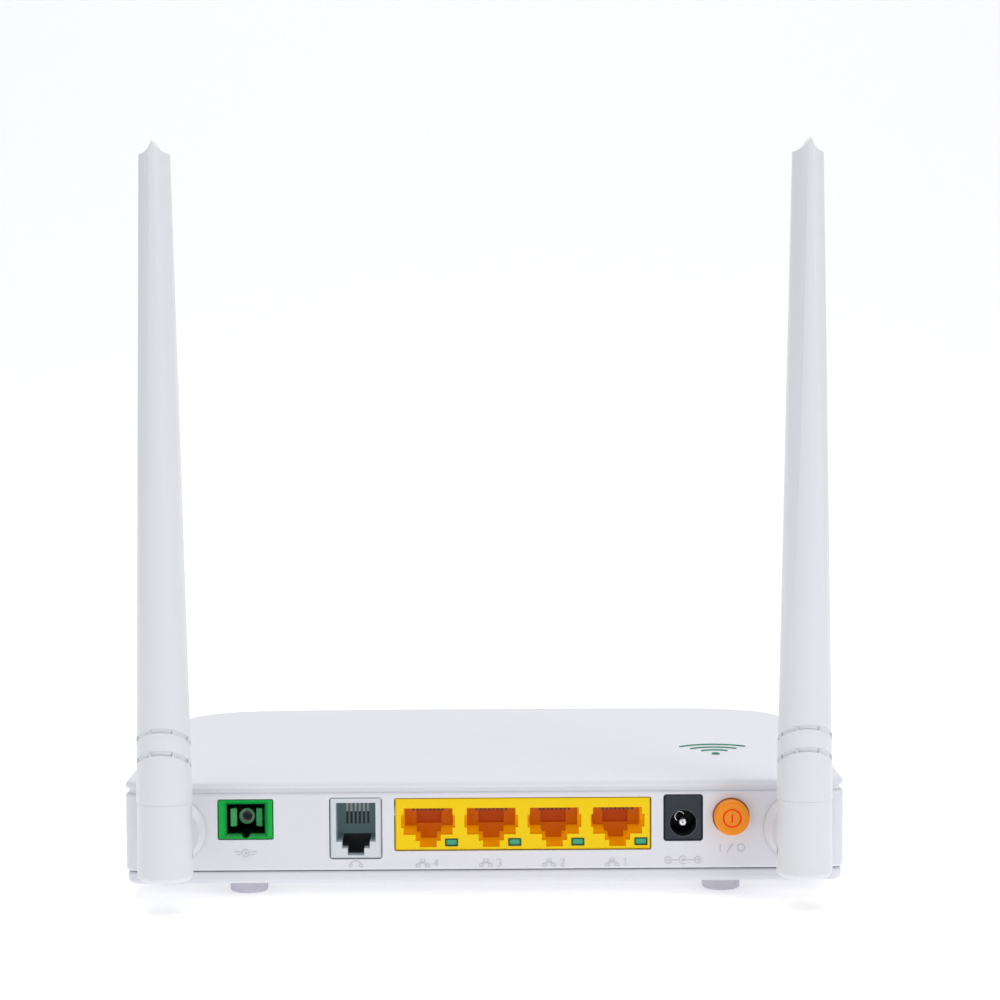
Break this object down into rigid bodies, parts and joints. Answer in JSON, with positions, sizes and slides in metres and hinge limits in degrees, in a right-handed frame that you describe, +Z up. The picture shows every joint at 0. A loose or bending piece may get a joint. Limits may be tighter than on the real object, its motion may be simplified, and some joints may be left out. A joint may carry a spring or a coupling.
{
  "type": "optical network terminal",
  "caption": "Flat white desk terminal with a rear panel of network, phone, fibre and power sockets, a push button and two folding round antennas.",
  "frame": {"origin": "middle of the whole object's footprint (case and antennas), on the desk, at the bottom of the rubber feet", "axes": "+Z up along the antennas; +Y out of the port panel (rear); -Y out of the status-light face (front); +X to the left of somebody who looks at the ports"},
  "size_m": [0.1736, 0.1401, 0.1805],
  "materials": {
    "shell_white": "satin moulded ABS, fine texture",
    "antenna_white": "satin moulded ABS",
    "rubber_foot": "matt lavender-grey rubber",
    "zinc_steel": "zinc-plated",
    "board_green": "solder mask",
    "chip_black": "matt epoxy",
    "heat_sink_alu": "extruded",
    "shield_tin": "tin-plated",
    "capacitor_can": "sleeved can",
    "jack_yellow": "moulded, slightly glossy",
    "jack_grey": "moulded",
    "adapter_green": "moulded",
    "jack_black": "moulded",
    "contact_gold": "gold-plated",
    "jack_metal": "nickel-plated",
    "ceramic": "zirconia",
    "led_green": "tinted clear",
    "clear_guide": "clear polycarbonate",
    "button_orange": "smooth, slightly translucent",
    "switch_dark": "moulded",
    "fibre_yellow": "buffered fibre",
    "coax_black": "coaxial lead",
    "module_gold": "plated"
  },
  "bodies": {
    "housing": {"top_cover": "shell_white", "middle_frame": "shell_white", "bottom_cover": "shell_white", "case_screws": "zinc_steel", "board_screws": "zinc_steel", "main_board": "board_green", "main_processor": "chip_black", "heat_sink": "heat_sink_alu", "memory_chips": "chip_black", "wifi_shield": "shield_tin", "optics_shield": "shield_tin", "lan_transformers": "chip_black", "capacitors": "capacitor_can", "inductors": "chip_black", "status_leds": "led_green", "light_guide": "clear_guide", "tact_switches": "switch_dark", "lan_jack_block": "jack_yellow", "lan_contacts": "contact_gold", "lan_leds": "led_green", "phone_jack": "jack_grey", "phone_contacts": "contact_gold", "fibre_adapter": "adapter_green", "sleeve_holder": "adapter_green", "ceramic_sleeve": "ceramic", "ferrule": "ceramic", "fibre_pigtail": "fibre_yellow", "optical_module": "module_gold", "dc_jack_body": "jack_black", "dc_jack_pin": "jack_metal", "dc_jack_spring": "jack_metal", "switch_body": "switch_dark", "foot_front_left": "rubber_foot", "foot_front_right": "rubber_foot", "foot_rear_left": "rubber_foot", "foot_rear_right": "rubber_foot", "antenna_lead_left": "coax_black", "lead_connector_left": "module_gold", "antenna_lead_right": "coax_black", "lead_connector_right": "module_gold"},
    "power_button": {"power_button_cap": "button_orange", "switch_plunger": "switch_dark"},
    "wps_key": {"wps_button": "shell_white"},
    "wlan_key": {"wlan_button": "shell_white"},
    "antenna_base_left": {"swivel_base_left": "antenna_white", "swivel_ring_left": "zinc_steel"},
    "antenna_left": {"hinge_pin_left": "zinc_steel", "elbow_left": "antenna_white", "mast_left": "antenna_white", "radiator_left": "module_gold"},
    "antenna_base_right": {"swivel_base_right": "antenna_white", "swivel_ring_right": "zinc_steel"},
    "antenna_right": {"hinge_pin_right": "zinc_steel", "elbow_right": "antenna_white", "mast_right": "antenna_white", "radiator_right": "module_gold"}
  },
  "joints": [
    {"name": "antenna_swivel_left", "type": "hinge", "parent": "housing", "child": "antenna_base_left", "pos_m": [0.0755, 0.05195, 0.0164], "axis": [0, 1, 0], "range_deg": [-25, 90]},
    {"name": "antenna_fold_left", "type": "hinge", "parent": "antenna_base_left", "child": "antenna_left", "pos_m": [0.0755, 0.06345, 0.0136], "axis": [-1, 0, 0], "range_deg": [0, 90]},
    {"name": "antenna_swivel_right", "type": "hinge", "parent": "housing", "child": "antenna_base_right", "pos_m": [-0.0755, 0.05195, 0.0164], "axis": [0, -1, 0], "range_deg": [-25, 90]},
    {"name": "antenna_fold_right", "type": "hinge", "parent": "antenna_base_right", "child": "antenna_right", "pos_m": [-0.0755, 0.06345, 0.0136], "axis": [-1, 0, 0], "range_deg": [0, 90]},
    {"name": "power_button_press", "type": "slide", "parent": "housing", "child": "power_button", "axis": [0, -1, 0], "range_m": [0, 0.0025], "stiffness_N_per_m": 600},
    {"name": "wps_button_press", "type": "slide", "parent": "housing", "child": "wps_key", "axis": [-1, 0, 0], "range_m": [0, 0.0005], "stiffness_N_per_m": 2000},
    {"name": "wlan_button_press", "type": "slide", "parent": "housing", "child": "wlan_key", "axis": [-1, 0, 0], "range_m": [0, 0.0005], "stiffness_N_per_m": 2000}
  ]
}
